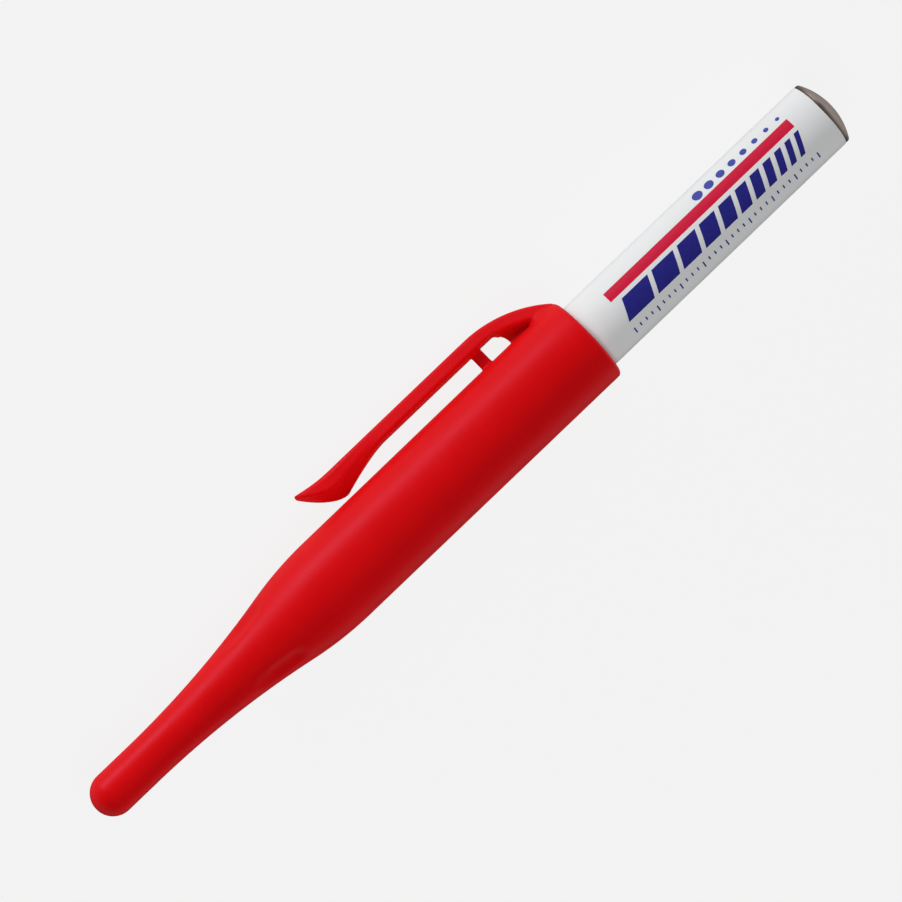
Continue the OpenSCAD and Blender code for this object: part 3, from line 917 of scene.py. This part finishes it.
# Camera, turned as the pen lies in the photograph, and its aim in millimetres from the cap's tip
CAMERA_LEAN = math.radians(7)
CAMERA_TILT = math.radians(4.5)
CAMERA_ROLL = math.radians(43.7738034)
CAMERA_AIM_Z = 78.81
CAMERA_AIM_UP = 2.05
CAMERA_AWAY = 1.0
FRAME_WIDTH = 0.14145

# Studio: how strongly each side of the room glows, and a wall that only reflections show
CLIP_SIDE_GLOW = 0.32
END_SIDE_GLOW = 0.75
WALL_IN_GLOSS = 0.45
WALL_SIDE = Vector((0, -0.7, 0.7))
FLOOR_SIZE = 6


def place_camera():
    """Looks down on the pen as the photograph does: clip up, tip a little nearer, hardly any perspective."""
    up_image = to_clip * math.cos(CAMERA_LEAN) + to_viewer * math.sin(CAMERA_LEAN)
    facing = to_viewer * math.cos(CAMERA_LEAN) - to_clip * math.sin(CAMERA_LEAN)
    back = facing * math.cos(CAMERA_TILT) - along * math.sin(CAMERA_TILT)
    run = along * math.cos(CAMERA_TILT) + facing * math.sin(CAMERA_TILT)
    right = run * math.cos(CAMERA_ROLL) - up_image * math.sin(CAMERA_ROLL)
    up = run * math.sin(CAMERA_ROLL) + up_image * math.cos(CAMERA_ROLL)
    aim = LAID @ Vector((0, 0, CAMERA_AIM_Z)) + up_image * CAMERA_AIM_UP * MM
    bpy.ops.object.camera_add()
    camera = bpy.context.object
    camera.matrix_world = Matrix.Translation(aim + back * CAMERA_AWAY) @ (
        Matrix((right, up, back)).transposed().to_4x4()
    )
    camera.data.lens = camera.data.sensor_width * CAMERA_AWAY / FRAME_WIDTH
    bpy.context.scene.camera = camera
    return up_image, facing


def soft_light(name, way, away, width, height, power):
    """Large softbox that looks at the pen from a direction."""
    bpy.ops.object.light_add(type="AREA", location=way.normalized() * away)
    light = bpy.context.object
    light.name = light.data.name = name
    light.data.shape = "RECTANGLE"
    light.data.size, light.data.size_y = width, height
    light.data.energy = power
    light.rotation_euler = way.to_track_quat("Z", "Y").to_euler()
    return light


def studio_room(up_image):
    """Room that glows softly from the clip's side and past the barrel's end, and is dark behind the viewer.

    Reflections also show a pale wall, high on the side away from the clip, so that bare metal isn't black.
    """
    world = bpy.data.worlds.new("studio")
    bpy.context.scene.world = world
    world.use_nodes = True
    look = add_node(world, "TexCoord", {}).outputs["Generated"]
    lobes = []
    for side, strength in ((up_image, CLIP_SIDE_GLOW), (along, END_SIDE_GLOW), (WALL_SIDE, WALL_IN_GLOSS)):
        towards = add_node(world, "VectorMath", {"operation": "DOT_PRODUCT"}, look, side).outputs["Value"]
        lobe = add_node(
            world, "MapRange", {"interpolation_type": "SMOOTHSTEP"}, Value=towards, To_Max=strength
        )
        lobes.append(lobe.outputs["Result"])
    clip_side, end_side, wall = lobes
    sides = add_node(world, "Math", {"operation": "ADD"}, clip_side, end_side).outputs["Value"]
    mirrored = add_node(world, "LightPath", {}).outputs["Is Glossy Ray"]
    shown = add_node(world, "Math", {"operation": "MULTIPLY_ADD"}, mirrored, wall, sides).outputs["Value"]
    background = world.node_tree.nodes["Background"]
    background.inputs["Color"].default_value = colour("#ffffff")
    world.node_tree.links.new(shown, background.inputs["Strength"])


up_image, facing = place_camera()

red = satin_plastic("red moulded polypropylene", "#dc0a0e", "#e80d11", 0.42, 0.13)
white = satin_plastic("white moulded polypropylene", "#e2dfd4", "#edebe2", 0.45, 0.4)
milky = satin_plastic("natural polyethylene", "#dcdacb", "#eceadf", 0.5, 0.4)
film = satin_plastic("wrapping film", "#dededf", "#ececee", 0.3, 0.5)
lacquer = white_lacquer()
aluminium = bare_aluminium()
steel = drawn_steel()
fibre = soaked_fibre()

cap = cap_moulding()
cap.data.materials.append(red)
finish_piece(cap, "cap", "red_polypropylene", "cap_shell")

clip = clip_moulding()
clip.data.materials.append(red)
finish_piece(clip, None, "red_polypropylene", "pocket_clip", edge_angle=180)
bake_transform(clip)

barrel = barrel_tube()
barrel.data.materials.append(lacquer)
barrel.data.materials.append(aluminium)
barrel.active_material_index = 1
# Bare metal past the lacquer's edge and inside the mouth
pick(barrel, lambda p: p.z > LACQUER_Z - NEAR)
bpy.ops.object.material_slot_assign()
pick(barrel, lambda p: p.xy.length < BARREL_IN_R + NEAR and p.z < LACQUER_Z)
bpy.ops.object.material_slot_assign()
seal(barrel)
finish_piece(barrel, "pen_body", "white_lacquered_aluminium", "barrel")

for make, body, slot, finish, node in (
    (nib_holder, "pen_body", "white_polypropylene", white, "nib_holder"),
    (nib_tube, "pen_body", "stainless_steel", steel, "nib_tube"),
    (fibre_nib, "pen_body", "inked_fibre", fibre, "fibre_nib"),
    (inner_cap, "cap", "natural_polyethylene", milky, "inner_cap"),
):
    piece = make()
    seal(piece)
    piece.data.materials.append(finish)
    finish_piece(piece, body, slot, node)

for node, finish in (("ink_reservoir", fibre), ("reservoir_film", film)):
    frame["nodes"][node].data.materials.clear()
    frame["nodes"][node].data.materials.append(finish)

for make, finish in (
    (crimson_print, print_ink("crimson printing ink", "#cf1539", "#da1c43")),
    (navy_print, print_ink("navy printing ink", "#26257f", "#302f92")),
    (blue_print, print_ink("blue printing ink", "#414ba0", "#4b55b0")),
):
    piece = make()
    piece.data.materials.append(finish)
    finish_piece(piece, "pen_body", "white_lacquered_aluminium")

bpy.ops.object.select_all(action="DESELECT")
bpy.ops.mesh.primitive_plane_add(size=FLOOR_SIZE)
floor = bpy.context.object
floor.name = "floor"
floor.data.materials.append(floor_paper())
floor.visible_glossy = False

studio_room(up_image)

# One softbox below the viewer, towards the cap's tip, and one past the clip
below_viewer = facing * 0.866 - up_image * 0.5 - along * 0.35
past_clip = Vector((-0.15, 0.99, 0.14))
fill = soft_light("viewer_side_softbox", below_viewer, away=0.55, width=0.3, height=0.3, power=1.06)
fill.visible_glossy = False
soft_light("clip_side_softbox", past_clip, away=0.8, width=0.45, height=0.22, power=3.05)
bpy.context.scene.view_settings.view_transform = "Standard"
